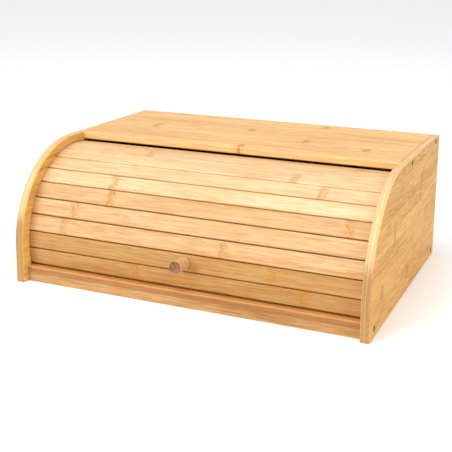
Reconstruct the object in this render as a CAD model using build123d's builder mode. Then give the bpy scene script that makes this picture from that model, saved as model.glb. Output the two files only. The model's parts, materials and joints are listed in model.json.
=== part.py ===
from build123d import *
from math import asin, atan, ceil, cos, degrees, hypot, radians, sin
import os

# A bamboo bread box with a roll-top. Two side panels carry a top board, a base board, a
# back panel and a low front rail. The roll-top is a curtain of flat slats glued to a
# canvas. Its slat ends run in a groove routed round an arc in each side panel, so the
# whole curtain turns about the centre line of that arc.
#
# Millimetres. X runs along the slats, the front faces -Y and Z is up. The origin is the
# centre of the whole footprint, the knob included, on the surface that the box stands on.

# ---- case -----------------------------------------------------------------------------
case_width = 400.0
case_depth = 295.0
case_height = 147.0
side_thickness = 9.5
shoulder_start = 39.0  # height at which a side panel's front edge begins to curve back
side_easing = 0.7  # sanded bevel on the side panels' edges

top_thickness = 8.0
top_setback = 16.0  # the top board's front edge lies this far behind the arc's centre
top_nose = 1.5  # rounding along the top board's front edge

base_thickness = 9.0
base_lift = 2.2  # gap between the base board and the surface that the box stands on

back_thickness = 8.0
back_inset = 2.0  # the back panel's rear face lies this far inside the rear edges
housing_depth = 3.0  # how far the back panel is let into each side panel

rail_height = 17.0
rail_depth = 20.0
rail_setback = 7.7  # from the side panels' front edges to the rail's face
rail_nose = 2.0  # rounding along the rail's upper front edge

# ---- roll-top -------------------------------------------------------------------------
slat_width = 17.9
slat_thickness = 5.5
slat_joint = 0.2  # between neighbouring slats, where the canvas bends
slat_rounding = 1.6  # on the two outer long edges of a slat
slat_setback = 13.5  # from the side panels' front edges to the foremost slat face
slat_headroom = 1.5  # between the highest slat face and the top board
slat_tuck = 8.0  # least stretch of the closed curtain that lies under the top board
closed_gap = 1.6  # between the closed curtain and the rail
rear_stop_height = 6.0  # the groove ends this far above the base board

groove_depth = 5.0
groove_play = 0.6  # between a slat and either wall of its groove
end_play = 0.6  # between a slat's end and the bottom of its groove

canvas_thickness = 0.7
canvas_margin = 4.0  # between the canvas and either side panel

# ---- knob -----------------------------------------------------------------------------
knob_slat = 2  # counted from the bottom
knob_length = 21.0
knob_head_radius = 7.6
knob_face_radius = 6.2
knob_rim = 2.6  # length of the head's widest part
knob_rim_bevel = 1.2  # from there to the flat face
knob_neck_radius = 5.2
foot_bead_radius = 6.8
foot_bead_length = 3.0
collar_bead_radius = 6.1
collar_bead_length = 2.7
bead_bevel = 0.7  # length of the slope on either side of a bead
bead_groove_radius = 5.2  # at the bottom of the cut between the two beads

# ---- screws ---------------------------------------------------------------------------
recess_radius = 3.5
recess_depth = 4.0
screw_radius = 1.75
screw_length = 22.0
screw_head_radius = 3.1
screw_head_height = 1.6
screw_clearance = 0.1  # round every screw in its hole
top_screw_inset = 22.0  # from the top board's front and rear edges
base_screw_inset = 13.0  # from the side panels' rear edges
rail_screw_inset = 10.0  # from the rail's face

knob_screw_radius = 1.6
knob_screw_bite = 13.0
knob_screw_head_radius = 3.2
knob_screw_head_height = 1.8
canvas_hole_margin = 0.8  # between the canvas and the knob screw's head

# ---- worked out from the sizes above --------------------------------------------------
inner_width = case_width - 2 * side_thickness
shoulder_radius = case_height - shoulder_start

# The arc that the slat faces follow starts level with the shoulder.
slat_face_radius = case_height - top_thickness - slat_headroom - shoulder_start
slat_back_radius = slat_face_radius - slat_thickness
slat_length = inner_width + 2 * (groove_depth - end_play)
slat_corner_radius = hypot(slat_face_radius, slat_width / 2)
slat_angle = 2 * degrees(atan((slat_width + slat_joint) / 2 / slat_back_radius))

# Angles are measured at the arc's centre, from straight ahead and upwards.
corner_angle = degrees(atan(slat_width / 2 / slat_face_radius))
lowest_drop = shoulder_start - rail_height - closed_gap
lowest_angle = degrees(asin(lowest_drop / slat_corner_radius))
closed_angle = corner_angle - lowest_angle - slat_angle / 2
cover_angle = 90 + degrees(asin((top_setback + slat_tuck) / slat_face_radius))
slat_count = ceil((cover_angle - closed_angle) / slat_angle)
rear_angle = closed_angle + slat_count * slat_angle
base_top = base_lift + base_thickness
stop_drop = shoulder_start - base_top - rear_stop_height
stop_angle = 180 + degrees(asin(stop_drop / slat_face_radius))
open_travel = stop_angle - rear_angle

# The knob is what stands furthest forward, so it sets where the case lies.
knob_angle = closed_angle + (knob_slat - 0.5) * slat_angle
knob_reach = (slat_face_radius + knob_length) * cos(radians(knob_angle))
knob_overhang = max(knob_reach - slat_setback - slat_face_radius, 0)
front_y = (knob_overhang - case_depth) / 2
rear_y = front_y + case_depth
arc_y = front_y + slat_setback + slat_face_radius
arc_z = shoulder_start
top_front_y = arc_y + top_setback
back_rear_y = rear_y - back_inset
back_front_y = back_rear_y - back_thickness
rail_front_y = front_y + rail_setback
rail_rear_y = rail_front_y + rail_depth
top_underside = case_height - top_thickness

groove_inner_radius = slat_back_radius - groove_play
groove_outer_radius = slat_corner_radius + groove_play
groove_width = groove_outer_radius - groove_inner_radius
groove_middle_radius = (groove_outer_radius + groove_inner_radius) / 2
groove_overrun = degrees(groove_play / groove_middle_radius)

# Screw places on a side panel, as (y, z).
top_screw_z = case_height - top_thickness / 2
top_screws = [
    (top_front_y + top_screw_inset, top_screw_z),
    (rear_y - top_screw_inset, top_screw_z),
]
base_screw = (rear_y - base_screw_inset, base_lift + base_thickness / 2)
rail_screw = (rail_front_y + rail_screw_inset, rail_height / 2)
screw_places = [*top_screws, base_screw, rail_screw]
screw_bite = screw_length - (side_thickness - recess_depth)


def outward(angle):
    """The direction away from the arc's centre at an angle, as a vector."""
    return Vector(0, -cos(radians(angle)), sin(radians(angle)))


def on_arc(radius, angle):
    """The point at a radius and an angle about the arc's centre, on the centre line."""
    return Vector(0, arc_y, arc_z) + outward(angle) * radius


def cross_section(x):
    """The plane square to X at a place along it, with the row's own Y and Z."""
    return Plane(origin=(x, 0, 0), x_dir=(0, 1, 0), z_dir=(1, 0, 0))


def turning_section(angle):
    """The plane through X and the outward direction, with that direction as its Y."""
    return Plane(
        origin=on_arc(0, angle),
        x_dir=(1, 0, 0),
        z_dir=Vector(1, 0, 0).cross(outward(angle)),
    )


def save(part, name):
    """Labels a finished piece and writes it."""
    part.label = name
    export_step(part, f"parts/{name}.step")


os.makedirs("parts", exist_ok=True)

# ---- side panels ----------------------------------------------------------------------
inner_face = cross_section(inner_width / 2)
outer_face = cross_section(case_width / 2)
recess_floor = cross_section(case_width / 2 - recess_depth)

groove_start = closed_angle - groove_overrun
groove_sweep = open_travel + rear_angle - closed_angle + 2 * groove_overrun
groove_line = CenterArc(
    (arc_y, arc_z), groove_middle_radius, 180 - groove_start, -groove_sweep
)

with BuildPart() as side_panel_right:
    with BuildSketch(inner_face):
        with BuildLine():
            shoulder = JernArc((front_y, shoulder_start), (0, 1), shoulder_radius, -90)
            Polyline(
                shoulder @ 1,
                (rear_y, case_height),
                (rear_y, 0),
                (front_y, 0),
                shoulder @ 0,
            )
        make_face()
    extrude(amount=side_thickness)
    for face in side_panel_right.faces().filter_by(Axis.X):
        chamfer(face.outer_wire().edges(), side_easing)

    # The groove, round at both ends, in which the slat ends run.
    with BuildSketch(inner_face):
        SlotArc(groove_line, groove_width)
    extrude(amount=groove_depth, mode=Mode.SUBTRACT)

    # The housing that the back panel is let into.
    with BuildSketch(inner_face):
        with Locations((back_front_y, base_lift)):
            Rectangle(
                back_thickness,
                top_underside - base_lift,
                align=(Align.MIN, Align.MIN),
            )
    extrude(amount=housing_depth, mode=Mode.SUBTRACT)

    with Locations(outer_face):
        with Locations(*screw_places):
            CounterBoreHole(
                screw_radius + screw_clearance,
                recess_radius,
                recess_depth,
                side_thickness,
            )
save(side_panel_right.part, "side_panel_right")

with BuildPart() as side_panel_left:
    mirror(side_panel_right.part, about=Plane.YZ)
save(side_panel_left.part, "side_panel_left")


# ---- boards between the side panels ---------------------------------------------------
def end_seats(places):
    """The planes on both ends of a board where its screws go in, facing outwards."""
    return [
        Plane(origin=(end * inner_width / 2, y, z), z_dir=(end, 0, 0))
        for end in (-1, 1)
        for y, z in places
    ]


with BuildPart() as top_board:
    with BuildSketch(cross_section(-inner_width / 2)):
        with Locations((top_front_y, top_underside)):
            Rectangle(
                rear_y - top_front_y,
                top_thickness,
                align=(Align.MIN, Align.MIN),
            )
        fillet(vertices().group_by(Axis.X)[0], top_nose)
    extrude(amount=inner_width)
    with Locations(*end_seats(top_screws)):
        Hole(screw_radius + screw_clearance, screw_bite + screw_clearance)
save(top_board.part, "top_board")

with BuildPart() as base_board:
    with BuildSketch(cross_section(-inner_width / 2)):
        with Locations((rail_rear_y, base_lift)):
            Rectangle(
                back_front_y - rail_rear_y,
                base_thickness,
                align=(Align.MIN, Align.MIN),
            )
    extrude(amount=inner_width)
    with Locations(*end_seats([base_screw])):
        Hole(screw_radius + screw_clearance, screw_bite + screw_clearance)
save(base_board.part, "base_board")

with BuildPart() as back_panel:
    back_width = inner_width + 2 * housing_depth
    with BuildSketch(cross_section(-back_width / 2)):
        with Locations((back_front_y, base_lift)):
            Rectangle(
                back_thickness,
                top_underside - base_lift,
                align=(Align.MIN, Align.MIN),
            )
    extrude(amount=back_width)
save(back_panel.part, "back_panel")

with BuildPart() as front_rail:
    with BuildSketch(cross_section(-inner_width / 2)):
        with Locations((rail_front_y, 0)):
            Rectangle(rail_depth, rail_height, align=(Align.MIN, Align.MIN))
        fillet(vertices().group_by(Axis.X)[0].sort_by(Axis.Y)[-1], rail_nose)
    extrude(amount=inner_width)
    with Locations(*end_seats([rail_screw])):
        Hole(screw_radius + screw_clearance, screw_bite + screw_clearance)
save(front_rail.part, "front_rail")

# ---- screws in the side panels --------------------------------------------------------
with BuildPart() as panel_screws_right:
    with BuildSketch(recess_floor):
        with Locations(*screw_places):
            Circle(screw_head_radius)
    extrude(amount=screw_head_height)
    with BuildSketch(recess_floor):
        with Locations(*screw_places):
            Circle(screw_radius)
    extrude(amount=-screw_length)
save(panel_screws_right.part, "panel_screws_right")

with BuildPart() as panel_screws_left:
    mirror(panel_screws_right.part, about=Plane.YZ)
save(panel_screws_left.part, "panel_screws_left")


# ---- roll-top -------------------------------------------------------------------------
def make_slat(number):
    """One slat of the curtain, counted from the bottom. Its outer long edges are round."""
    angle = closed_angle + (number - 0.5) * slat_angle
    end_section = Plane(
        origin=on_arc(slat_face_radius, angle) - (slat_length / 2, 0, 0),
        x_dir=outward(angle),
        z_dir=(1, 0, 0),
    )
    with BuildPart() as slat:
        with BuildSketch(end_section):
            Rectangle(slat_thickness, slat_width, align=(Align.MAX, Align.CENTER))
            fillet(vertices().group_by(Axis.X)[-1], slat_rounding)
        extrude(amount=slat_length)
        if number == knob_slat:
            with Locations(Plane(on_arc(slat_face_radius, angle), z_dir=outward(angle))):
                Hole(knob_screw_radius + screw_clearance, slat_thickness)
    return slat.part


for number in range(1, slat_count + 1):
    save(make_slat(number), f"slat_{number:02d}")

# The back of the slat that carries the knob, where the knob's axis goes through it.
slat_back = Plane(on_arc(slat_back_radius, knob_angle), z_dir=outward(knob_angle))

# The canvas follows the backs of the slats and bends at each joint between them.
with BuildPart() as canvas_backing:
    canvas_width = inner_width - 2 * canvas_margin
    bend_stretch = 1 / cos(radians(slat_angle / 2))
    canvas_outer_radius = slat_back_radius * bend_stretch
    canvas_inner_radius = (slat_back_radius - canvas_thickness) * bend_stretch
    bend_angles = [closed_angle + bend * slat_angle for bend in range(slat_count + 1)]
    outer_bends = [on_arc(canvas_outer_radius, angle) for angle in bend_angles]
    inner_bends = [on_arc(canvas_inner_radius, angle) for angle in bend_angles]
    outline = [(bend.Y, bend.Z) for bend in outer_bends + inner_bends[::-1]]
    with BuildSketch(cross_section(-canvas_width / 2)):
        with BuildLine():
            Polyline(*outline, close=True)
        make_face()
    extrude(amount=canvas_width)
    with Locations(slat_back):
        Hole(knob_screw_head_radius + canvas_hole_margin, 2 * canvas_thickness)
save(canvas_backing.part, "canvas_backing")

# ---- knob -----------------------------------------------------------------------------
knob_section = turning_section(knob_angle)
knob_axis = Axis(on_arc(0, knob_angle), outward(knob_angle))

with BuildPart() as knob:
    knob_hole_radius = knob_screw_radius + screw_clearance
    knob_hole_depth = knob_screw_bite + screw_clearance
    foot = slat_face_radius
    collar = foot + foot_bead_length
    neck = collar + collar_bead_length
    tip = foot + knob_length
    rim = tip - knob_rim_bevel - knob_rim
    with BuildSketch(knob_section):
        with BuildLine():
            Polyline(
                (0, foot + knob_hole_depth),
                (knob_hole_radius, foot + knob_hole_depth),
                (knob_hole_radius, foot),
                (foot_bead_radius - bead_bevel, foot),
                (foot_bead_radius, foot + bead_bevel),
                (foot_bead_radius, collar - bead_bevel),
                (bead_groove_radius, collar),
                (collar_bead_radius, collar + bead_bevel),
                (collar_bead_radius, neck - bead_bevel),
                (knob_neck_radius, neck),
            )
            Bezier(
                (knob_neck_radius, neck),
                (knob_neck_radius, (neck + rim) / 2),
                (knob_head_radius, rim),
            )
            Polyline(
                (knob_head_radius, rim),
                (knob_head_radius, rim + knob_rim),
                (knob_face_radius, tip),
                (0, tip),
                (0, foot + knob_hole_depth),
            )
        make_face()
    revolve(axis=knob_axis)
save(knob.part, "knob")

with BuildPart() as knob_screw:
    with BuildSketch(slat_back):
        Circle(knob_screw_head_radius)
    extrude(amount=-knob_screw_head_height)
    with BuildSketch(slat_back):
        Circle(knob_screw_radius)
    extrude(amount=slat_thickness + knob_screw_bite)
save(knob_screw.part, "knob_screw")

print(f"slats {slat_count}, slat angle {slat_angle:.3f} deg, closed at {closed_angle:.3f} deg")
print(f"arc centre y {arc_y:.3f}, z {arc_z:.3f}, travel {open_travel:.3f} deg")
print(f"case front {front_y:.3f}, rear {rear_y:.3f}, base top {base_top:.3f}")
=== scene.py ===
import json
from math import atan2, cos, pi, radians, sin
from random import Random

import bmesh
import bpy
from mathutils import Matrix, Vector


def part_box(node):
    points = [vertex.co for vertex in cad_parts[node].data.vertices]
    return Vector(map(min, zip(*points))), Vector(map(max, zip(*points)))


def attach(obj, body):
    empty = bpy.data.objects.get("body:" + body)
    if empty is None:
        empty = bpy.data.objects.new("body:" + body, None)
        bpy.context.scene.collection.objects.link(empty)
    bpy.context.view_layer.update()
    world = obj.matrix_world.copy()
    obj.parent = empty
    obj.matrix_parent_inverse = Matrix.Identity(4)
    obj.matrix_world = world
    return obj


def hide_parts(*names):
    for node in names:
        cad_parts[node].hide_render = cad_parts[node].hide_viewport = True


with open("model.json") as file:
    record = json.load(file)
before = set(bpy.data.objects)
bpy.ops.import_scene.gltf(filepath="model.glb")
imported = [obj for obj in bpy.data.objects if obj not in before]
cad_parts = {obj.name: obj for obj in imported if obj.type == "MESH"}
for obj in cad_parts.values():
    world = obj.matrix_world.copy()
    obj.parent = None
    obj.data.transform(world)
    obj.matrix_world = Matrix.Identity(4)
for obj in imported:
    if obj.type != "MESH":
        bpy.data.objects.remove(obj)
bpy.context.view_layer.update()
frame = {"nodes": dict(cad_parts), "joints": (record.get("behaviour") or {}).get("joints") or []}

# A bamboo bread box with a roll-top. The construction comes from the frame, and this
# script gives every board, slat, screw and the knob its finish. Metres, X along the
# slats, the front faces -Y and Z is up. Sizes written times MM are millimetres.

MM = 0.001
SAME_POINT = 0.001 * MM

# ---- places read from the frame -------------------------------------------------------
ARC_CENTRE = Vector(frame["joints"][0]["pos_m"])
SLATS = sorted(name for name in frame["nodes"] if name.startswith("slat_"))
PANEL_LOW, PANEL_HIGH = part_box("side_panel_right")
INNER_HALF = PANEL_LOW.x
PANEL_THICKNESS = PANEL_HIGH.x - INNER_HALF
CASE_MIDDLE_Y = (PANEL_LOW.y + PANEL_HIGH.y) / 2


def outward(angle):
    """The direction away from the roll-top's centre, at an angle from straight ahead."""
    return Vector((0, -cos(angle), sin(angle)))


def around(angle):
    """The direction in which the roll-top opens, at the same angle."""
    return Vector((0, sin(angle), cos(angle)))


def slat_angle(name):
    """The angle at which a slat lies about the roll-top's centre."""
    low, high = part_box(name)
    middle = (low + high) / 2
    return atan2(middle.z - ARC_CENTRE.z, ARC_CENTRE.y - middle.y)


def reach(name, direction):
    """How far a node reaches from the roll-top's centre in a direction."""
    points = frame["nodes"][name].data.vertices
    return max((point.co - ARC_CENTRE).dot(direction) for point in points)


def joined_points(point, left):
    """Takes a point and all that its edges lead to out of the points that are left."""
    queue, found = [point], []
    left.remove(point)
    while queue:
        point = queue.pop()
        found.append(point.co.copy())
        for edge in point.link_edges:
            other = edge.other_vert(point)
            if other in left:
                left.remove(other)
                queue.append(other)
    return found


def solid_boxes(node):
    """The low and the high corner of each separate solid in a node."""
    shape = bmesh.new()
    shape.from_mesh(frame["nodes"][node].data)
    bmesh.ops.remove_doubles(shape, verts=shape.verts, dist=SAME_POINT)
    left = set(shape.verts)
    boxes = []
    for point in shape.verts:
        if point in left:
            solid = joined_points(point, left)
            corners = [[pick(co[axis] for co in solid) for axis in range(3)] for pick in (min, max)]
            boxes.append([Vector(corner) for corner in corners])
    shape.free()
    return boxes


ANGLE = {name: slat_angle(name) for name in SLATS}
SLAT_STEP = (ANGLE[SLATS[-1]] - ANGLE[SLATS[0]]) / (len(SLATS) - 1)
SLAT_FACE = reach(SLATS[0], outward(ANGLE[SLATS[0]]))
SLAT_THICKNESS = 5.5 * MM
SLAT_BACK = SLAT_FACE - SLAT_THICKNESS
KNOB_ANGLE = ANGLE["slat_02"]
KNOB_LENGTH = reach("knob", outward(KNOB_ANGLE)) - SLAT_FACE
SCREW_NODES = {"left": "panel_screws_left", "right": "panel_screws_right"}
SCREW_BOXES = {side: solid_boxes(node) for side, node in SCREW_NODES.items()}
RECESS_RADIUS = 3.5 * MM


# ---- building node trees --------------------------------------------------------------
FLOAT, VECTOR = "NodeSocketFloat", "NodeSocketVector"
NOISE_SPAN = (0.3, 0.7)  # most of the noise lies between these


def feed(tree, socket, value):
    """Sets an input to a value, or links it to the output that feeds it."""
    if isinstance(value, bpy.types.NodeSocket):
        tree.links.new(value, socket)
    else:
        socket.default_value = value


def add(tree, kind, inputs=None, **settings):
    """Puts a node into a tree, with its settings and its inputs."""
    node = tree.nodes.new(kind)
    for name, value in settings.items():
        setattr(node, name, value)
    for name, value in (inputs or {}).items():
        feed(tree, node.inputs[name], value)
    return node


def calc(tree, operation, *values):
    """The result of arithmetic on single values."""
    inputs = dict(enumerate(values))
    return add(tree, "ShaderNodeMath", inputs, operation=operation).outputs[0]


def vector_calc(tree, operation, first, second):
    """The result of arithmetic on two vectors."""
    inputs = {0: first, 1: second}
    return add(tree, "ShaderNodeVectorMath", inputs, operation=operation).outputs[0]


def ease(tree, value, low, high, start=0.0, end=1.0):
    """A value carried smoothly from one span to another, and held beyond its ends."""
    inputs = {"Value": value, "From Min": low, "From Max": high, "To Min": start, "To Max": end}
    node = add(tree, "ShaderNodeMapRange", inputs, interpolation_type="SMOOTHSTEP")
    return node.outputs[0]


def gap(tree, value, target):
    """How far a value is from another, either way."""
    return calc(tree, "ABSOLUTE", calc(tree, "SUBTRACT", value, target))


def distance(tree, first, second):
    """The length of two values that lie at right angles."""
    squares = calc(tree, "MULTIPLY_ADD", first, first, calc(tree, "MULTIPLY", second, second))
    return calc(tree, "SQRT", squares)


def tint(tree, factor, first, second, mode="MIX"):
    """Two colours mixed by a factor."""
    node = add(tree, "ShaderNodeMix", data_type="RGBA", blend_type=mode)
    for number, value in ((0, factor), (6, first), (7, second)):
        feed(tree, node.inputs[number], value)
    return node.outputs[2]


def faint(tree, mask, share):
    """A mask at a share of its strength."""
    return calc(tree, "MULTIPLY", mask, share)


def join(tree, x, y, z):
    """Three values joined to a vector."""
    return add(tree, "ShaderNodeCombineXYZ", {"X": x, "Y": y, "Z": z}).outputs[0]


def split(tree, value):
    """A vector's three values."""
    parts = add(tree, "ShaderNodeSeparateXYZ", {0: value}).outputs
    return parts["X"], parts["Y"], parts["Z"]


def noise(tree, where, turns=(1, 1, 1), detail=2.0):
    """Noise between 0 and 1, with so many turns to the metre along X, Y and Z."""
    inputs = {"Vector": vector_calc(tree, "MULTIPLY", where, turns), "Scale": 1.0}
    inputs.update({"Detail": detail, "Roughness": 0.5})
    return add(tree, "ShaderNodeTexNoise", inputs).outputs[0]


def place_on(tree, kind="Object"):
    """The place on a piece, in the shared frame or in its own flat map."""
    return add(tree, "ShaderNodeTexCoord").outputs[kind]


def local_place(tree, centre=(0, 0, 0), turn=(0, 0, 0)):
    """The place on a piece seen from a centre and turned to the piece's own directions."""
    inputs = {"Vector": place_on(tree), "Location": centre, "Rotation": turn}
    return add(tree, "ShaderNodeMapping", inputs, vector_type="TEXTURE").outputs[0]


def shader_group(name, inputs, outputs):
    """A shader node group with named sockets: its tree, what it is given, what it gives."""
    tree = bpy.data.node_groups.new(name, "ShaderNodeTree")
    for socket, kind in inputs.items():
        tree.interface.new_socket(socket, in_out="INPUT", socket_type=kind)
    for socket in outputs:
        tree.interface.new_socket(socket, in_out="OUTPUT", socket_type=FLOAT)
    given = tree.nodes.new("NodeGroupInput").outputs
    gives = tree.nodes.new("NodeGroupOutput").inputs
    return tree, given, gives


def use(tree, group, **inputs):
    """Places a group in a tree. Its inputs are named with _ for each space."""
    node = tree.nodes.new("ShaderNodeGroup")
    node.node_tree = group
    for name, value in inputs.items():
        feed(tree, node.inputs[name.replace("_", " ")], value)
    return node.outputs


# ---- effects that several materials share ---------------------------------------------
def make_grain():
    """Bamboo fibres in glued strips: X along the grain, Y across the strips, Z through."""
    inputs = {"Vector": VECTOR, "Strip Width": FLOAT, "Seed": FLOAT}
    outputs = ("Fibre", "Streak", "Cloud", "Strip", "Seam")
    tree, given, gives = shader_group("bamboo grain", inputs, outputs)
    x, y, z = split(tree, given["Vector"])
    row = calc(tree, "DIVIDE", y, given["Strip Width"])
    number = calc(tree, "FLOOR", row)
    own_key, longest_shift = 3.7, 5.3
    strip_key = join(tree, number, given["Seed"], own_key)
    strip = add(tree, "ShaderNodeTexWhiteNoise", {"Vector": strip_key}).outputs["Value"]
    shifted = calc(tree, "ADD", calc(tree, "MULTIPLY_ADD", strip, longest_shift, x), given["Seed"])
    place = join(tree, shifted, y, z)

    def figure(along, across, detail):
        """A crisp pattern from 0 to 1, drawn out along the grain."""
        low, high = 0.35, 0.65
        return ease(tree, noise(tree, place, (along, across, across), detail), low, high)

    part = calc(tree, "PINGPONG", calc(tree, "SUBTRACT", row, number), 0.5)
    to_seam = calc(tree, "MULTIPLY", part, given["Strip Width"])
    seam_core, seam_edge = 0.1 * MM, 0.5 * MM
    feed(tree, gives["Fibre"], figure(along=48, across=850, detail=2.0))
    feed(tree, gives["Streak"], figure(along=15, across=480, detail=3.0))
    feed(tree, gives["Cloud"], figure(along=8, across=60, detail=2.0))
    feed(tree, gives["Strip"], strip)
    feed(tree, gives["Seam"], ease(tree, to_seam, seam_core, seam_edge, 1.0, 0.0))
    return tree


def make_knuckle():
    """One knuckle of the bamboo: two crooked lines across a strip, with a stain round them."""
    inputs = {"Vector": VECTOR, "Place": VECTOR, "Reach": FLOAT, "Length": FLOAT, "Seed": FLOAT}
    tree, given, gives = shader_group("bamboo knuckle", inputs, ("Stain", "Line"))
    length, seed = given["Length"], given["Seed"]
    turns_along, turns_across, sway_width = 380, 430, 5 * MM
    line_core, second_line, stain_middle = 0.2 * MM, 0.55, 0.3
    x, y, _ = split(tree, vector_calc(tree, "SUBTRACT", given["Vector"], given["Place"]))
    across = calc(tree, "MULTIPLY", y, turns_across)
    sway = calc(tree, "SUBTRACT", noise(tree, join(tree, across, seed, 0.0)), 0.5)
    x = calc(tree, "MULTIPLY_ADD", sway, sway_width, x)
    along = calc(tree, "MULTIPLY", x, turns_along)
    spots = noise(tree, join(tree, along, across, seed), detail=3.0)

    def off(share):
        """How far along the grain a place is from a share of the knuckle's length."""
        return gap(tree, x, calc(tree, "MULTIPLY", length, share))

    first = ease(tree, off(0.0), line_core, 1.8 * MM, 0.9, 0.0)
    second = ease(tree, off(second_line), line_core, 2.2 * MM, 0.5, 0.0)
    broken = ease(tree, spots, 0.4, 0.62, 0.1, 1.0)
    lines = calc(tree, "MULTIPLY", calc(tree, "MAXIMUM", first, second), broken)
    near = ease(tree, off(stain_middle), 0.0, length, 1.0, 0.0)
    stain = calc(tree, "MULTIPLY", near, ease(tree, spots, 0.3, 0.65))
    fade_start = calc(tree, "SUBTRACT", given["Reach"], 1.5 * MM)
    fade_end = calc(tree, "ADD", given["Reach"], 1.0 * MM)
    within = ease(tree, calc(tree, "ABSOLUTE", y), fade_start, fade_end, 1.0, 0.0)
    feed(tree, gives["Stain"], calc(tree, "MULTIPLY", stain, within))
    feed(tree, gives["Line"], calc(tree, "MULTIPLY", lines, within))
    return tree


def make_wear():
    """The rubbed arrises of a box-shaped piece, from the box's corners, where wear and a painted highlight
    lie.
    """
    inputs = {"Vector": VECTOR, "Low": VECTOR, "High": VECTOR, "Width": FLOAT}
    tree, given, gives = shader_group("arris wear", inputs, ("Wear",))
    above = vector_calc(tree, "SUBTRACT", given["Vector"], given["Low"])
    below = vector_calc(tree, "SUBTRACT", given["High"], given["Vector"])
    x, y, z = split(tree, vector_calc(tree, "MINIMUM", above, below))
    total = calc(tree, "ADD", calc(tree, "ADD", x, y), z)
    largest = calc(tree, "MAXIMUM", calc(tree, "MAXIMUM", x, y), z)
    to_arris = calc(tree, "SUBTRACT", total, largest)
    spots = noise(tree, given["Vector"], (160, 160, 160), detail=3.0)
    width = calc(tree, "MULTIPLY", given["Width"], ease(tree, spots, *NOISE_SPAN, 0.5, 1.3))
    share = calc(tree, "DIVIDE", to_arris, width)
    feed(tree, gives["Wear"], ease(tree, share, 0.3, 1.0, 1.0, 0.0))
    return tree


GRAIN, KNUCKLE, WEAR = make_grain(), make_knuckle(), make_wear()


# ---- materials ------------------------------------------------------------------------
def srgb(red, green, blue):
    """A colour in 0 to 255 display values, as the linear colour that shaders take."""
    shares = (value / 255 for value in (red, green, blue))
    return (*(((share + 0.055) / 1.055) ** 2.4 for share in shares), 1.0)


def between(share, first, second):
    """A colour a share of the way from one to another."""
    return tuple(a + (b - a) * share for a, b in zip(first, second))


def material(name):
    """A new node material: itself, its tree and its shader."""
    made = bpy.data.materials.new(name)
    made.use_nodes = True
    tree = made.node_tree
    tree.nodes.clear()
    shader = add(tree, "ShaderNodeBsdfPrincipled")
    add(tree, "ShaderNodeOutputMaterial", {"Surface": shader.outputs[0]})
    return made, tree, shader


def relief(tree, shader, height, depth):
    """Raises the surface by a height between 0 and 1 times a depth."""
    inputs = {"Height": height, "Distance": depth, "Strength": 1.0}
    feed(tree, shader.inputs["Normal"], add(tree, "ShaderNodeBump", inputs).outputs[0])


def dress(node, made):
    """Gives a node of the frame its material."""
    mesh = frame["nodes"][node].data
    mesh.materials.clear()
    mesh.materials.append(made)


STAIN = srgb(188, 124, 42)
LINE = srgb(146, 86, 22)
# Rubbed wear and a painted highlight on the arrises share this paler colour.
RUBBED_AND_HIGHLIT = srgb(228, 204, 160)
# Screw recesses: their end grain's own colour and painted shade.
BORED_AND_SHADED = srgb(146, 84, 28)
TONE_SHARES = {"Strip": 0.22, "Streak": 0.26, "Cloud": 0.22, "Fibre": 0.34}
SEAM_SHARE = 0.22
RELIEF_SHARES = {"Seam": -0.6, "Fibre": 0.7, "Streak": 0.6}
GRAIN_DEPTH = 0.05 * MM
LACQUER_ROUGHNESS, FIBRE_ROUGHNESS = 0.38, 0.12
ARRIS = 1.2 * MM
WEAR_AND_HIGHLIGHT_SHARE = 0.15


def bamboo(tree, shader, local, pale, tan, seed, strip, knuckles, gloss=0.25, dark=0.5):
    """Lacquered bamboo along a piece's own X. Each knuckle is (x, y, reach, length)."""
    grain = use(tree, GRAIN, Vector=local, Strip_Width=strip, Seed=seed)
    tone, height = 0.0, 0.0
    for name, share in TONE_SHARES.items():
        tone = calc(tree, "MULTIPLY_ADD", grain[name], share, tone)
    for name, share in RELIEF_SHARES.items():
        height = calc(tree, "MULTIPLY_ADD", grain[name], share, height)
    colour = tint(tree, tone, pale, tan)
    colour = tint(tree, faint(tree, grain["Seam"], SEAM_SHARE), colour, LINE)
    for number, (x, y, half_width, length) in enumerate(knuckles):
        own_seed = seed * 3 + number * 7.3
        sizes = {"Place": (x, y, 0), "Reach": half_width, "Length": length}
        mark = use(tree, KNUCKLE, Vector=local, Seed=own_seed, **sizes)
        colour = tint(tree, faint(tree, mark["Stain"], dark), colour, STAIN)
        colour = tint(tree, faint(tree, mark["Line"], dark / 2), colour, LINE)
        height = calc(tree, "ADD", height, mark["Line"])
    relief(tree, shader, height, GRAIN_DEPTH)
    rough = calc(tree, "MULTIPLY_ADD", grain["Fibre"], FIBRE_ROUGHNESS, LACQUER_ROUGHNESS)
    feed(tree, shader.inputs["Roughness"], rough)
    shader.inputs["Specular IOR Level"].default_value = gloss
    return colour


def in_strip(place, strip):
    """The middle of the glued strip that a place lies in."""
    return (place // strip + 0.5) * strip


def scatter(seed, count, low, high, strip):
    """Knuckles spread at random over a face, each in the middle of a strip."""
    dice = Random(seed)
    first, last = int(low[1] // strip), int(high[1] // strip)
    rows = [(row + 0.5) * strip for row in range(first, last + 1)]
    rows = [row for row in rows if low[1] < row < high[1]]
    knuckles = []
    for _ in range(count):
        x = dice.uniform(low[0], high[0])
        y = dice.choice(rows)
        knuckles.append((x, y, strip / 2, dice.uniform(3, 7) * MM))
    return knuckles


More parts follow.
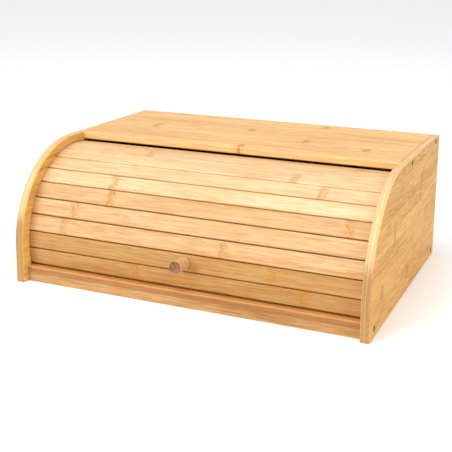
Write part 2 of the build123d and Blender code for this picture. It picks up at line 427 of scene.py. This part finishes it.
# ---- slats ----------------------------------------------------------------------------
# Each slat: how tan it is, from 0 to 1, and where its knuckles are, in millimetres along X. How tan a slat
# is comes mostly from painted shade, more on the lower slats, and partly from its own tone.
SLAT_LOOKS = {
    "slat_01": (1.0, (127, -60)),
    "slat_02": (1.0, (94,)),
    "slat_03": (0.4, (39, -150)),
    "slat_04": (0.4, (-140,)),
    "slat_05": (0.5, (-100, 165)),
    "slat_06": (0.0, (-103,)),
    "slat_07": (0.06, (128,)),
    "slat_08": (0.0, (93,)),
    "slat_09": (0.0, (-85,)),
    "slat_10": (0.1, (150,)),
    "slat_11": (0.2, (-20,)),
}
# Each pair: the colour of the palest slat, painted as lit, and of the most tan one, painted as shaded.
SLAT_PALE_BY_SHADE = (srgb(228, 202, 160), srgb(193, 154, 98))
SLAT_TAN_BY_SHADE = (srgb(204, 148, 84), srgb(164, 104, 42))
# The sawn edges are darkest up to the fourth slat and palest from the ninth on: painted shade in the lower
# joints and painted light in the upper ones.
SLAT_SAWN_SHADED_TO_LIT = (srgb(190, 108, 26), srgb(236, 160, 66))
LAST_SHADED_EDGE, FIRST_LIT_EDGE = 4, 9
# How far below a slat's face the sawn colour begins, and where it is full. It is the sawn wood's own darker
# colour and painted shade deep in the joints.
SAWN_START, SAWN_FULL = 0.9 * MM, 2.6 * MM
SLAT_KNUCKLE = (9.5 * MM, 9 * MM)  # its reach to each side and its length
# A strip far wider than a slat, so that no seam shows on one.
SLAT_STRIP = 1.0


def make_slat_material(name, number):
    """One slat's bamboo, more tan on the lower slats with painted shade. Its grain runs along it, and its
    sawn edges are darker, partly with painted shade.
    """
    made, tree, shader = material(f"bamboo of {name}")
    local = local_place(tree, ARC_CENTRE, (pi / 2 - ANGLE[name], 0, 0))
    _, _, height = split(tree, local)
    # Painted shade: each slat's listed tan share, high on the lower slats, mixes its colours.
    tone_and_shade_share, places = SLAT_LOOKS[name]
    mid_strip = vector_calc(tree, "ADD", local, (0, SLAT_STRIP / 2, 0))
    colour = bamboo(
        tree,
        shader,
        mid_strip,
        pale=between(tone_and_shade_share, *SLAT_PALE_BY_SHADE),
        tan=between(tone_and_shade_share, *SLAT_TAN_BY_SHADE),
        seed=1.7 * number,
        strip=SLAT_STRIP,
        knuckles=[(x * MM, SLAT_STRIP / 2, *SLAT_KNUCKLE) for x in places],
        gloss=0.45 - 0.3 * tone_and_shade_share,
        dark=0.75,
    )
    # Painted light and shade: the sawn edges are paler on the upper slats and darker on the lower ones.
    paler = (number - LAST_SHADED_EDGE) / (FIRST_LIT_EDGE - LAST_SHADED_EDGE)
    sawn_and_shade_colour = between(min(max(paler, 0), 1), *SLAT_SAWN_SHADED_TO_LIT)
    # Painted shade with the sawn wood's own colour: darker deeper into the joint between slats.
    sawn = ease(tree, height, SLAT_FACE - SAWN_FULL, SLAT_FACE - SAWN_START, 0.9, 0.0)
    feed(tree, shader.inputs["Base Color"], tint(tree, sawn, colour, sawn_and_shade_colour))
    dress(name, made)


for number, name in enumerate(SLATS, 1):
    make_slat_material(name, number)


# ---- boards between the side panels ---------------------------------------------------
BOARD_STRIP = 18 * MM
TOP_KNUCKLE = (9 * MM, 8 * MM)  # its reach to each side and its length
TOP_KNUCKLES = ((-140, 145), (-134, 60), (-15, 75), (61, 133), (67, 48), (8, -5), (142, 30))


def rubbed(tree, node, colour):
    """A colour worn a little paler along the arrises of a node, partly as a painted highlight."""
    low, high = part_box(node)
    worn = use(tree, WEAR, Vector=place_on(tree), Low=low, High=high, Width=ARRIS)
    return tint(tree, faint(tree, worn["Wear"], WEAR_AND_HIGHLIGHT_SHARE), colour, RUBBED_AND_HIGHLIT)


def make_board_material(node, pale, tan, seed, knuckles, turn=(0, 0, 0)):
    """A board's bamboo with rubbed arrises, paler with wear and a painted highlight. Its grain runs along
    X.
    """
    made, tree, shader = material(f"bamboo of {node}")
    local = local_place(tree, turn=turn)
    colour = bamboo(tree, shader, local, pale, tan, seed, BOARD_STRIP, knuckles, dark=1.0)
    feed(tree, shader.inputs["Base Color"], rubbed(tree, node, colour))
    dress(node, made)


make_board_material(
    "top_board",
    pale=srgb(244, 202, 140),
    tan=srgb(204, 146, 80),
    seed=21.3,
    knuckles=[(x * MM, in_strip(y * MM, BOARD_STRIP), *TOP_KNUCKLE) for x, y in TOP_KNUCKLES],
)
low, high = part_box("base_board")
make_board_material(
    "base_board",
    pale=srgb(228, 188, 134),
    tan=srgb(206, 160, 104),
    seed=33.1,
    knuckles=scatter(5, 12, low, high, BOARD_STRIP),
)
low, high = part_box("back_panel")
make_board_material(
    "back_panel",
    pale=srgb(228, 186, 130),
    tan=srgb(206, 158, 100),
    seed=47.9,
    knuckles=scatter(8, 10, (low.x, low.z), (high.x, high.z), BOARD_STRIP),
    turn=(pi / 2, 0, 0),
)


def make_rail_material():
    """The rail's bamboo: a darker layer over a paler one, and a painted orange highlight along its top."""
    node = "front_rail"
    small_knot = (171 * MM, 9.5 * MM, 2.5 * MM, 3 * MM)
    knuckle = (-78 * MM, 11 * MM, 6 * MM, 12 * MM)
    made, tree, shader = material(f"bamboo of {node}")
    colour = bamboo(
        tree,
        shader,
        local_place(tree, turn=(pi / 2, 0, 0)),
        pale=srgb(206, 164, 108),
        tan=srgb(150, 100, 48),
        seed=12.4,
        strip=30 * MM,
        knuckles=[small_knot, knuckle],
    )
    _, _, z = split(tree, place_on(tree))
    above_joint = ease(tree, z, 9.6 * MM, 10.6 * MM)
    below_top = ease(tree, z, 15.2 * MM, 16.4 * MM, 1.0, 0.0)
    upper_layer = calc(tree, "MULTIPLY", above_joint, below_top)
    # Painted highlight: the rail's top face is tinted a bright orange.
    top_highlight = ease(tree, z, 15.6 * MM, 16.6 * MM, 0.0, 0.4)
    colour = tint(tree, faint(tree, upper_layer, 0.6), colour, srgb(148, 92, 40))
    colour = tint(tree, top_highlight, colour, srgb(222, 144, 58))
    feed(tree, shader.inputs["Base Color"], rubbed(tree, node, colour))
    dress(node, made)


make_rail_material()


# ---- side panels ----------------------------------------------------------------------
SIDE_STRIP = 15 * MM
SIDE_KNUCKLE = (8 * MM, 9 * MM)  # its reach to each side and its length
SIDE_KNUCKLES = ((57, 113), (54, 98), (-106, 40), (-62, 82), (4, 20))


def ply_colour(tree, spot, to_face):
    """The colour of a panel's edges: two plies in end grain, the core's grain along it, and painted shade
    towards the bottom.
    """
    _, _, z = split(tree, spot)
    ply = PANEL_THICKNESS / 3
    speck = ease(tree, noise(tree, spot, (2200, 900, 900)), 0.35, 0.7)
    lines = ease(tree, noise(tree, spot, (1600, 25, 25)), 0.35, 0.7)
    end_grain = tint(tree, speck, srgb(226, 192, 142), srgb(198, 158, 108))
    long_grain = tint(tree, lines, srgb(230, 200, 150), srgb(202, 166, 116))
    core = ease(tree, to_face, ply - 0.15 * MM, ply + 0.15 * MM)
    glue = ease(tree, gap(tree, to_face, ply), 0.1 * MM, 0.45 * MM, 0.35, 0.0)
    # Painted shade: the edges darken towards the bottom of the panel.
    lower_shade = ease(tree, z, 62 * MM, 84 * MM, 0.85, 0.0)
    colour = tint(tree, core, end_grain, long_grain)
    colour = tint(tree, glue, colour, srgb(160, 116, 72))
    return tint(tree, lower_shade, colour, srgb(200, 180, 152), "MULTIPLY")


def make_side_material(side, sign, seed, knuckles):
    """A side panel's bamboo: three plies, the grain of its faces along Y, and its screw recesses darker
    with painted shade.
    """
    node = f"side_panel_{side}"
    made, tree, shader = material(f"bamboo of {node}")
    faces = bamboo(
        tree,
        shader,
        local_place(tree, turn=(pi / 2, 0, pi / 2)),
        pale=srgb(244, 196, 112),
        tan=srgb(190, 124, 40),
        seed=seed,
        strip=SIDE_STRIP,
        knuckles=knuckles,
        gloss=0.1,
        dark=1.0,
    )
    spot = place_on(tree)
    x, y, z = split(tree, spot)
    depth = calc(tree, "SUBTRACT", calc(tree, "MULTIPLY", x, sign), INNER_HALF)
    to_face = calc(tree, "PINGPONG", depth, PANEL_THICKNESS / 2)
    inside = ease(tree, to_face, 0.3 * MM, 0.8 * MM)
    colour = tint(tree, inside, faces, ply_colour(tree, spot, to_face))
    # Painted shade with the end grain's own colour darkens each screw recess.
    for low, high in SCREW_BOXES[side]:
        off_y = calc(tree, "SUBTRACT", y, (low.y + high.y) / 2)
        off_z = calc(tree, "SUBTRACT", z, (low.z + high.z) / 2)
        off = distance(tree, off_y, off_z)
        bored_and_shaded = ease(tree, off, RECESS_RADIUS, RECESS_RADIUS + 0.4 * MM, 0.8, 0.0)
        colour = tint(tree, calc(tree, "MULTIPLY", bored_and_shaded, inside), colour, BORED_AND_SHADED)
    feed(tree, shader.inputs["Base Color"], colour)
    dress(node, made)


make_side_material(
    "right",
    1,
    61.7,
    [(y * MM, in_strip(z * MM, SIDE_STRIP), *SIDE_KNUCKLE) for y, z in SIDE_KNUCKLES],
)
make_side_material(
    "left",
    -1,
    74.2,
    scatter(11, 8, (PANEL_LOW.y, PANEL_LOW.z), (PANEL_HIGH.y, PANEL_HIGH.z), SIDE_STRIP),
)


# ---- making meshes --------------------------------------------------------------------
SHARP = radians(40)


def link(name, data):
    """A new object in the scene."""
    piece = bpy.data.objects.new(name, data)
    bpy.context.scene.collection.objects.link(piece)
    return piece


def mesh_object(name, points, faces, made=None):
    """A mesh object from its points and faces, with its faces turned outwards."""
    mesh = bpy.data.meshes.new(name)
    mesh.from_pydata(points, [], faces)
    shape = bmesh.new()
    shape.from_mesh(mesh)
    bmesh.ops.recalc_face_normals(shape, faces=shape.faces)
    shape.to_mesh(mesh)
    shape.free()
    if made:
        mesh.materials.append(made)
    return link(name, mesh)


def smooth(piece):
    """Shades a piece smooth, except over its sharp corners."""
    piece.data.shade_smooth()
    piece.data.set_sharp_from_angle(angle=SHARP)


def settle(piece, body, slot, *nodes):
    """Puts a finished piece on its body in place of the nodes that it stands for."""
    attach(piece, body)
    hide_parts(*nodes)


def applied(piece):
    """Turns a piece's modifiers into plain mesh."""
    bpy.context.view_layer.update()
    graph = bpy.context.evaluated_depsgraph_get()
    mesh = bpy.data.meshes.new_from_object(piece.evaluated_get(graph))
    mesh.validate()
    piece.modifiers.clear()
    piece.data = mesh
    mesh.name = piece.name


# ---- knob -----------------------------------------------------------------------------
KNOB_SIDES = 72
KNOB_GROOVES = (3.0 * MM, 5.65 * MM)


def bow(start, end, bulge, steps):
    """Points from start up to end, bulging to the right of the way between them."""
    (start_radius, start_height), (end_radius, end_height) = start, end
    out, up = end_radius - start_radius, end_height - start_height
    length = (out**2 + up**2) ** 0.5
    points = []
    for step in range(steps):
        share = step / steps
        push = 4 * bulge * share * (1 - share) / length
        radius = start_radius + out * share + push * up
        height = start_height + up * share - push * out
        points.append((radius, height))
    return points


def knob_outline():
    """Radius and height in millimetres along the knob, from its screw hole to its face."""
    length = KNOB_LENGTH / MM
    hole_radius, hole_depth = 1.7, 13.1
    hole = [(0, hole_depth), (hole_radius, hole_depth), (hole_radius, 0)]
    foot_bead = [*bow((5.8, 0), (5.7, 2.7), 0.65, 10), (5.7, 2.7), (5.1, 2.9), (5.1, 3.15)]
    collar = [*bow((5.3, 3.3), (5.2, 5.3), 0.5, 10), (5.2, 5.3), (4.8, 5.5), (4.8, 5.75)]
    neck = bow((5.0, 5.85), (6.9, 14.0), -0.75, 14)
    head = bow((6.9, 14.0), (7.4, 19.3), 0.35, 8)
    rim = bow((7.4, 19.3), (6.3, length), 0.35, 6)
    dish = [*bow((6.3, length), (0, length - 1.1), -0.25, 8), (0, length - 1.1)]
    return hole + foot_bead + collar + neck + head + rim + dish


def turned(outline, base, side, up, axis):
    """The points and faces of an outline turned about an axis from a base."""
    points, faces, rings = [], [], []
    for radius, height in outline:
        count = KNOB_SIDES if radius > 0 else 1
        rings.append(range(len(points), len(points) + count))
        for turn in range(count):
            angle = 2 * pi * turn / KNOB_SIDES
            spoke = side * cos(angle) + up * sin(angle)
            points.append(base + (axis * height + spoke * radius) * MM)

    def corner(ring, turn):
        """A point of a ring. A ring on the axis has only one."""
        return ring[turn % len(ring)]

    for lower, upper in zip(rings, rings[1:]):
        for turn in range(KNOB_SIDES):
            after = (turn + 1) % KNOB_SIDES
            corners = [corner(lower, turn), corner(lower, after), corner(upper, after), corner(upper, turn)]
            faces.append(list(dict.fromkeys(corners)))
    return points, faces


def knob_face_colour(tree, x, y):
    """The end grain on the knob's face, with the growth rings round a point off its centre."""
    off_centre = calc(tree, "ADD", x, 9 * MM)
    growth = calc(tree, "SINE", calc(tree, "MULTIPLY", distance(tree, off_centre, y), 3300))
    flat = join(tree, calc(tree, "MULTIPLY", x, 260), calc(tree, "MULTIPLY", y, 260), 4.0)
    mottle = ease(tree, noise(tree, flat, detail=3.0), *NOISE_SPAN)
    colour = tint(tree, mottle, srgb(150, 98, 52), srgb(104, 62, 28))
    return tint(tree, ease(tree, growth, -0.2, 1.0, 0.0, 0.25), colour, srgb(122, 70, 42))


def make_knob_material(base):
    """Turned wood: its fibres run along the knob, and its grooves and face are darker."""
    made, tree, shader = material("turned wood")
    local = local_place(tree, base, (pi / 2 - KNOB_ANGLE, 0, 0))
    x, y, height = split(tree, local)
    fibre = noise(tree, local, (1500, 1500, 90))
    colour = tint(tree, ease(tree, fibre, *NOISE_SPAN), srgb(232, 184, 126), srgb(204, 150, 94))
    colour = tint(tree, ease(tree, height, 14 * MM, 18 * MM, 0.0, 0.3), colour, srgb(146, 92, 52))
    for groove in KNOB_GROOVES:
        shade = ease(tree, gap(tree, height, groove), 0.15 * MM, 0.6 * MM, 0.85, 0.0)
        colour = tint(tree, shade, colour, srgb(82, 48, 22))
    near_end = ease(tree, height, KNOB_LENGTH - 2.4 * MM, KNOB_LENGTH - 1.4 * MM)
    near_axis = ease(tree, distance(tree, x, y), 6.2 * MM, 7.0 * MM, 1.0, 0.0)
    on_face = calc(tree, "MULTIPLY", near_end, near_axis)
    colour = tint(tree, on_face, colour, knob_face_colour(tree, x, y))
    feed(tree, shader.inputs["Base Color"], colour)
    feed(tree, shader.inputs["Roughness"], calc(tree, "MULTIPLY_ADD", fibre, 0.15, 0.35))
    relief(tree, shader, fibre, 0.03 * MM)
    return made


def make_knob():
    """The turned knob: two beads at its foot, a flared neck and a thick head."""
    base = ARC_CENTRE + outward(KNOB_ANGLE) * SLAT_FACE
    side = Vector((1, 0, 0))
    points, faces = turned(knob_outline(), base, side, around(KNOB_ANGLE), outward(KNOB_ANGLE))
    piece = mesh_object("turned_knob", points, faces, make_knob_material(base))
    smooth(piece)
    settle(piece, "roll_top", "knob_wood", "knob")


make_knob()


# ---- canvas ---------------------------------------------------------------------------
CLOTH_THICKNESS = 0.6 * MM
CLOTH_COLUMNS = 60
CLOTH_STEPS = 8  # rows of faces to each slat
WEAVE_PITCH = 0.7 * MM
HOLE_RADIUS = 4 * MM
HOLE_SIDES = 32


def make_canvas_material():
    """Plain canvas: the threads of its weave go over and under each other, and painted shade darkens the
    lower ones.
    """
    made, tree, shader = material("plain canvas")
    flat = place_on(tree, "UV")
    x, y, _ = split(tree, flat)
    warp = calc(tree, "MULTIPLY", x, pi / WEAVE_PITCH)
    weft = calc(tree, "MULTIPLY", y, pi / WEAVE_PITCH)
    over = calc(tree, "MULTIPLY", calc(tree, "SINE", warp), calc(tree, "SINE", weft))
    warp_up = ease(tree, over, -0.3, 0.3)
    weft_up = calc(tree, "SUBTRACT", 1.0, warp_up)
    warp_round = calc(tree, "ABSOLUTE", calc(tree, "COSINE", warp))
    weft_round = calc(tree, "ABSOLUTE", calc(tree, "COSINE", weft))
    weft_part = calc(tree, "MULTIPLY", weft_up, weft_round)
    height = calc(tree, "MULTIPLY_ADD", warp_up, warp_round, weft_part)
    slub = ease(tree, noise(tree, flat, (60, 1400, 0)), *NOISE_SPAN)
    soiled_place = join(tree, calc(tree, "MULTIPLY", x, 18), calc(tree, "MULTIPLY", y, 18), 2.0)
    soiled = ease(tree, noise(tree, soiled_place), 0.3, 0.8, 0.0, 0.35)
    # Painted shade: threads that lie low in the weave are darker.
    low_thread_shade = ease(tree, height, 0.1, 0.7, 0.55, 0.0)
    colour = tint(tree, slub, srgb(226, 214, 188), srgb(202, 186, 154))
    colour = tint(tree, soiled, colour, srgb(190, 168, 130))
    colour = tint(tree, low_thread_shade, colour, srgb(138, 120, 92))
    feed(tree, shader.inputs["Base Color"], colour)
    shader.inputs["Roughness"].default_value = 0.92
    shader.inputs["Sheen Weight"].default_value = 0.15
    relief(tree, shader, height, 0.15 * MM)
    return made


def cloth_grid(low_x, high_x):
    """The cloth's points, its faces, and each point's place when it lies flat."""
    skin = 0.05 * MM
    first = ANGLE[SLATS[0]] - SLAT_STEP / 2
    rows = CLOTH_STEPS * len(SLATS)
    points, faces, flat = [], [], []
    for row in range(rows + 1):
        off_middle = (row % CLOTH_STEPS) / CLOTH_STEPS - 0.5
        angle = first + SLAT_STEP * row / CLOTH_STEPS
        dip = 0.5 * CLOTH_THICKNESS * abs(2 * off_middle) ** 6
        radius = (SLAT_BACK - skin) / cos(off_middle * SLAT_STEP) - dip
        spot = ARC_CENTRE + outward(angle) * radius
        for column in range(CLOTH_COLUMNS + 1):
            x = low_x + (high_x - low_x) * column / CLOTH_COLUMNS
            points.append((x, spot.y, spot.z))
            flat.append((x, angle * SLAT_BACK))
    row_length = CLOTH_COLUMNS + 1
    for row in range(rows):
        for column in range(CLOTH_COLUMNS):
            corner = row * row_length + column
            faces.append((corner, corner + 1, corner + row_length + 1, corner + row_length))
    return points, faces, flat


def screw_hole_cutter():
    """A peg through the cloth behind the knob."""
    side, up, axis = Vector((1, 0, 0)), around(KNOB_ANGLE), outward(KNOB_ANGLE)
    middle = ARC_CENTRE + axis * SLAT_BACK
    points = []
    for end in (-1, 1):
        for turn in range(HOLE_SIDES):
            angle = 2 * pi * turn / HOLE_SIDES
            spoke = side * cos(angle) + up * sin(angle)
            points.append(middle + (axis * end + spoke) * HOLE_RADIUS)
    faces = [tuple(range(HOLE_SIDES)), tuple(range(HOLE_SIDES, 2 * HOLE_SIDES))]
    for turn in range(HOLE_SIDES):
        after = (turn + 1) % HOLE_SIDES
        faces.append((turn, after, after + HOLE_SIDES, turn + HOLE_SIDES))
    return mesh_object("screw_hole_cutter", points, faces)


def faces_inward(piece):
    """Whether a sheet's faces look towards the roll-top's centre."""
    faces = piece.data.polygons
    face = faces[len(faces) // 2]
    to_centre = ARC_CENTRE - face.center
    to_centre.x = 0
    return face.normal.dot(to_centre) > 0


def make_canvas():
    """The cloth glued to the backs of the slats. It dips a little at each joint."""
    low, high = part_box("canvas_backing")
    points, faces, flat = cloth_grid(low.x, high.x)
    piece = mesh_object("canvas_cloth", points, faces, make_canvas_material())
    layer = piece.data.uv_layers.new(name="flat cloth")
    for loop in piece.data.loops:
        layer.data[loop.index].uv = flat[loop.vertex_index]
    wall = piece.modifiers.new("thickness", "SOLIDIFY")
    wall.thickness = CLOTH_THICKNESS
    wall.offset = 1 if faces_inward(piece) else -1
    cutter = screw_hole_cutter()
    cut = piece.modifiers.new("screw hole", "BOOLEAN")
    cut.object = cutter
    cut.operation = "DIFFERENCE"
    cut.solver = "EXACT"
    applied(piece)
    bpy.data.objects.remove(cutter)
    smooth(piece)
    settle(piece, "roll_top", "canvas", "canvas_backing")


make_canvas()


# ---- screws ---------------------------------------------------------------------------
HEAD_SIDES = 40
SHAFT_SIDES = 24
SHAFT_PER_TURN = 1.6 * MM  # length of the shaft to each turn of its thread
RIM_SHARE = 0.8  # of the head's radius, at the top of its bevel
CROSS_SHARE = 1.15  # length of the cross, of the head's radius
CROSS_DEPTH_SHARE = 1.2  # of the head's height, half of it above the head
CORE_SHARE, CREST_SHARE, RIDGE_SHARE = 0.72, 0.82, 0.16  # of the shaft's radius
THREADED_SHARE, THREAD_START = 0.9, 0.97  # of the shaft's length
THREAD_STEPS = 16  # points to each turn of the thread
SCREW_SIZES = ("Head Radius", "Head Height", "Shaft Radius", "Shaft Length", "Cross Width")


def part(tree, kind, **inputs):
    """The geometry that a node gives. Its inputs are named with _ for each space."""
    named = {name.replace("_", " "): value for name, value in inputs.items()}
    return add(tree, kind, named).outputs[0]


def placed(tree, geometry, height, turn=(0, 0, 0)):
    """Geometry moved up by a height, after a turn."""
    offset = join(tree, 0.0, 0.0, height)
    inputs = {"Geometry": geometry, "Translation": offset, "Rotation": turn}
    return part(tree, "GeometryNodeTransform", **inputs)


def cylinder(tree, sides, radius, depth):
    """A cylinder about the origin."""
    inputs = {"Vertices": sides, "Radius": radius, "Depth": depth}
    return part(tree, "GeometryNodeMeshCylinder", **inputs)


def combined(tree, operation, first, others):
    """Solids added to each other, or cut out of the first."""
    node = add(tree, "GeometryNodeMeshBoolean", operation=operation)
    if first is not None:
        tree.links.new(first, node.inputs["Mesh 1"])
    for other in others:
        tree.links.new(other, node.inputs["Mesh 2"])
    return node.outputs[0]


def screw_head(tree, given):
    """A flat head with a bevelled rim and a cross cut into it."""
    radius, height = given["Head Radius"], given["Head Height"]
    half = calc(tree, "MULTIPLY", height, 0.5)
    barrel = placed(tree, cylinder(tree, HEAD_SIDES, radius, half), calc(tree, "MULTIPLY", half, 0.5))
    rim = calc(tree, "MULTIPLY", radius, RIM_SHARE)
    crown_sizes = {"Radius_Top": rim, "Radius_Bottom": radius, "Depth": half}
    crown = placed(tree, part(tree, "GeometryNodeMeshCone", Vertices=HEAD_SIDES, **crown_sizes), half)
    cross_length = calc(tree, "MULTIPLY", radius, CROSS_SHARE)
    cross_depth = calc(tree, "MULTIPLY", height, CROSS_DEPTH_SHARE)
    bar_size = join(tree, cross_length, given["Cross Width"], cross_depth)
    bar = placed(tree, part(tree, "GeometryNodeMeshCube", Size=bar_size), height)
    cross_bar = placed(tree, bar, 0.0, (0, 0, pi / 2))
    blank = combined(tree, "UNION", None, (barrel, crown))
    return combined(tree, "DIFFERENCE", blank, (bar, cross_bar))


def screw_core(tree, given):
    """The shaft between the turns of the thread."""
    radius, length = given["Shaft Radius"], given["Shaft Length"]
    core = cylinder(tree, SHAFT_SIDES, calc(tree, "MULTIPLY", radius, CORE_SHARE), length)
    return placed(tree, core, calc(tree, "MULTIPLY", length, -0.5))


def screw_thread(tree, given):
    """A three-cornered ridge that winds round the shaft."""
    radius, length = given["Shaft Radius"], given["Shaft Length"]
    crest = calc(tree, "MULTIPLY", radius, CREST_SHARE)
    helix = part(
        tree,
        "GeometryNodeCurveSpiral",
        Resolution=THREAD_STEPS,
        Rotations=calc(tree, "DIVIDE", length, SHAFT_PER_TURN),
        Start_Radius=crest,
        End_Radius=crest,
        Height=calc(tree, "MULTIPLY", length, THREADED_SHARE),
    )
    ridge_size = calc(tree, "MULTIPLY", radius, RIDGE_SHARE)
    ridge = part(tree, "GeometryNodeCurvePrimitiveCircle", Resolution=3, Radius=ridge_size)
    sweep = {"Curve": helix, "Profile_Curve": ridge, "Fill_Caps": True}
    thread = part(tree, "GeometryNodeCurveToMesh", **sweep)
    return placed(tree, thread, calc(tree, "MULTIPLY", length, -THREAD_START))


def make_screw_tree():
    """A node tree that puts a cross-headed wood screw on each point, along an axis."""
    tree = bpy.data.node_groups.new("wood screws", "GeometryNodeTree")
    inputs = {"Geometry": "NodeSocketGeometry", **dict.fromkeys(SCREW_SIZES, FLOAT)}
    inputs.update({"Axis": VECTOR, "Metal": "NodeSocketMaterial"})
    for name, kind in inputs.items():
        tree.interface.new_socket(name, in_out="INPUT", socket_type=kind)
    tree.interface.new_socket("Geometry", in_out="OUTPUT", socket_type="NodeSocketGeometry")
    given = tree.nodes.new("NodeGroupInput").outputs
    whole = add(tree, "GeometryNodeJoinGeometry")
    for make in (screw_head, screw_core, screw_thread):
        tree.links.new(make(tree, given), whole.inputs[0])
    facing = add(tree, "FunctionNodeAlignRotationToVector", {"Vector": given["Axis"]}, axis="Z").outputs[0]
    inputs = {"Points": given["Geometry"], "Instance": whole.outputs[0], "Rotation": facing}
    instances = part(tree, "GeometryNodeInstanceOnPoints", **inputs)
    real = part(tree, "GeometryNodeRealizeInstances", Geometry=instances)
    finish = part(tree, "GeometryNodeSetMaterial", Geometry=real, Material=given["Metal"])
    add(tree, "NodeGroupOutput", {0: finish})
    return tree


def make_screw_metal():
    """Dull yellow plating, darker in spots."""
    made, tree, shader = material("plated screw")
    spots = noise(tree, place_on(tree), (900, 900, 900), detail=4.0)
    colour = tint(tree, ease(tree, spots, *NOISE_SPAN), srgb(196, 142, 84), srgb(120, 74, 40))
    feed(tree, shader.inputs["Base Color"], colour)
    shader.inputs["Metallic"].default_value = 0.85
    feed(tree, shader.inputs["Roughness"], ease(tree, spots, 0.2, 0.8, 0.3, 0.6))
    relief(tree, shader, spots, 0.02 * MM)
    return made


SCREW_TREE = make_screw_tree()
SCREW_METAL = make_screw_metal()
PANEL_SCREW = {
    "Head Radius": 3.1 * MM,
    "Head Height": 1.6 * MM,
    "Shaft Radius": 1.75 * MM,
    "Shaft Length": 22 * MM,
    "Cross Width": 0.9 * MM,
}
KNOB_SCREW = {
    "Head Radius": 3.2 * MM,
    "Head Height": 1.8 * MM,
    "Shaft Radius": 1.6 * MM,
    "Shaft Length": 18.5 * MM,
    "Cross Width": 0.9 * MM,
}


def make_screws(name, body, node, seats, axis, sizes):
    """The screws of one node: their heads' undersides lie on the seats, facing the axis."""
    piece = mesh_object(name, seats, [])
    grown = piece.modifiers.new("screws", "NODES")
    grown.node_group = SCREW_TREE
    values = {**sizes, "Axis": axis, "Metal": SCREW_METAL}
    for socket in SCREW_TREE.interface.items_tree:
        if socket.in_out == "INPUT" and socket.name in values:
            grown[socket.identifier] = values[socket.name]
    applied(piece)
    settle(piece, body, "screw_metal", node)


def panel_seats(side, sign):
    """Where the heads of one side panel's screws sit."""
    seats = []
    for low, high in SCREW_BOXES[side]:
        outer = max(sign * low.x, sign * high.x)
        middle = (low + high) / 2
        seats.append((sign * (outer - PANEL_SCREW["Head Height"]), middle.y, middle.z))
    return seats


for side, sign in (("left", -1), ("right", 1)):
    seats = panel_seats(side, sign)
    make_screws(f"cross_screws_{side}", "case", SCREW_NODES[side], seats, (sign, 0, 0), PANEL_SCREW)
knob_seat = ARC_CENTRE + outward(KNOB_ANGLE) * SLAT_BACK
make_screws("cross_screw_knob", "roll_top", "knob_screw", [knob_seat], -outward(KNOB_ANGLE), KNOB_SCREW)


# ---- floor, light and camera ----------------------------------------------------------
def make_floor():
    """A plain pale floor."""
    half = 12.0
    made, tree, shader = material("pale floor")
    shader.inputs["Base Color"].default_value = (0.97, 0.97, 0.97, 1)
    shader.inputs["Roughness"].default_value = 0.7
    shader.inputs["Specular IOR Level"].default_value = 0.1
    points = [(-half, -half, 0), (half, -half, 0), (half, half, 0), (-half, half, 0)]
    mesh_object("floor", points, [(0, 1, 2, 3)], made)


def soft_light(name, place, aim, size, power):
    """A square white light that faces a point."""
    data = bpy.data.lights.new(name, "AREA")
    data.size = size
    data.energy = power
    lamp = link(name, data)
    lamp.location = place
    lamp.rotation_euler = (Vector(aim) - Vector(place)).to_track_quat("-Z", "Y").to_euler()


SUN_SOFTNESS = radians(30)


def sunlight(name, side, height, strength):
    """Parallel light that stays soft, from an angle to the right and an angle up."""
    data = bpy.data.lights.new(name, "SUN")
    data.energy = strength * pi
    data.angle = SUN_SOFTNESS
    lamp = link(name, data)
    towards = Vector((sin(side) * cos(height), -cos(side) * cos(height), sin(height)))
    lamp.rotation_euler = towards.to_track_quat("Z", "Y").to_euler()


def make_studio():
    """White surroundings, a softbox above, and soft light from both sides of the front."""
    world = bpy.data.worlds.new("studio")
    world.use_nodes = True
    surround = world.node_tree.nodes["Background"]
    surround.inputs["Color"].default_value = (1, 1, 1, 1)
    surround.inputs["Strength"].default_value = 0.6
    bpy.context.scene.world = world
    soft_light("softbox", place=(0, -0.5, 2.2), aim=(0, 0, 0), size=1.6, power=26)
    sunlight("key", side=radians(-30), height=radians(20), strength=0.5)
    sunlight("fill", side=radians(62), height=radians(35), strength=0.25)
    bpy.context.scene.view_settings.view_transform = "Standard"


def make_camera():
    """The photograph's view: from the right of the front and a little above."""
    yaw, pitch, roll = radians(23.72), radians(13.64), radians(0.40)
    distance_to_aim = 1.055
    aim = Vector((-20.9 * MM, CASE_MIDDLE_Y + 19.1 * MM, 106.8 * MM))
    focal_pixels = 902.3
    picture_pixels = 452
    centre_row = 172
    back = Vector((sin(yaw) * cos(pitch), -cos(yaw) * cos(pitch), sin(pitch)))
    right = Vector((cos(yaw), sin(yaw), 0))
    up = back.cross(right)
    tilted_right = right * cos(roll) + up * sin(roll)
    tilted_up = up * cos(roll) - right * sin(roll)
    data = bpy.data.cameras.new("camera")
    data.sensor_width = 36
    data.lens = data.sensor_width * focal_pixels / picture_pixels
    data.shift_y = (centre_row - picture_pixels / 2) / picture_pixels
    data.clip_start = 0.05
    camera = link("camera", data)
    place = Matrix((tilted_right, tilted_up, back)).transposed().to_4x4()
    place.translation = aim + back * distance_to_aim
    camera.matrix_world = place
    bpy.context.scene.camera = camera


make_floor()
make_studio()
make_camera()

bpy.context.view_layer.update()
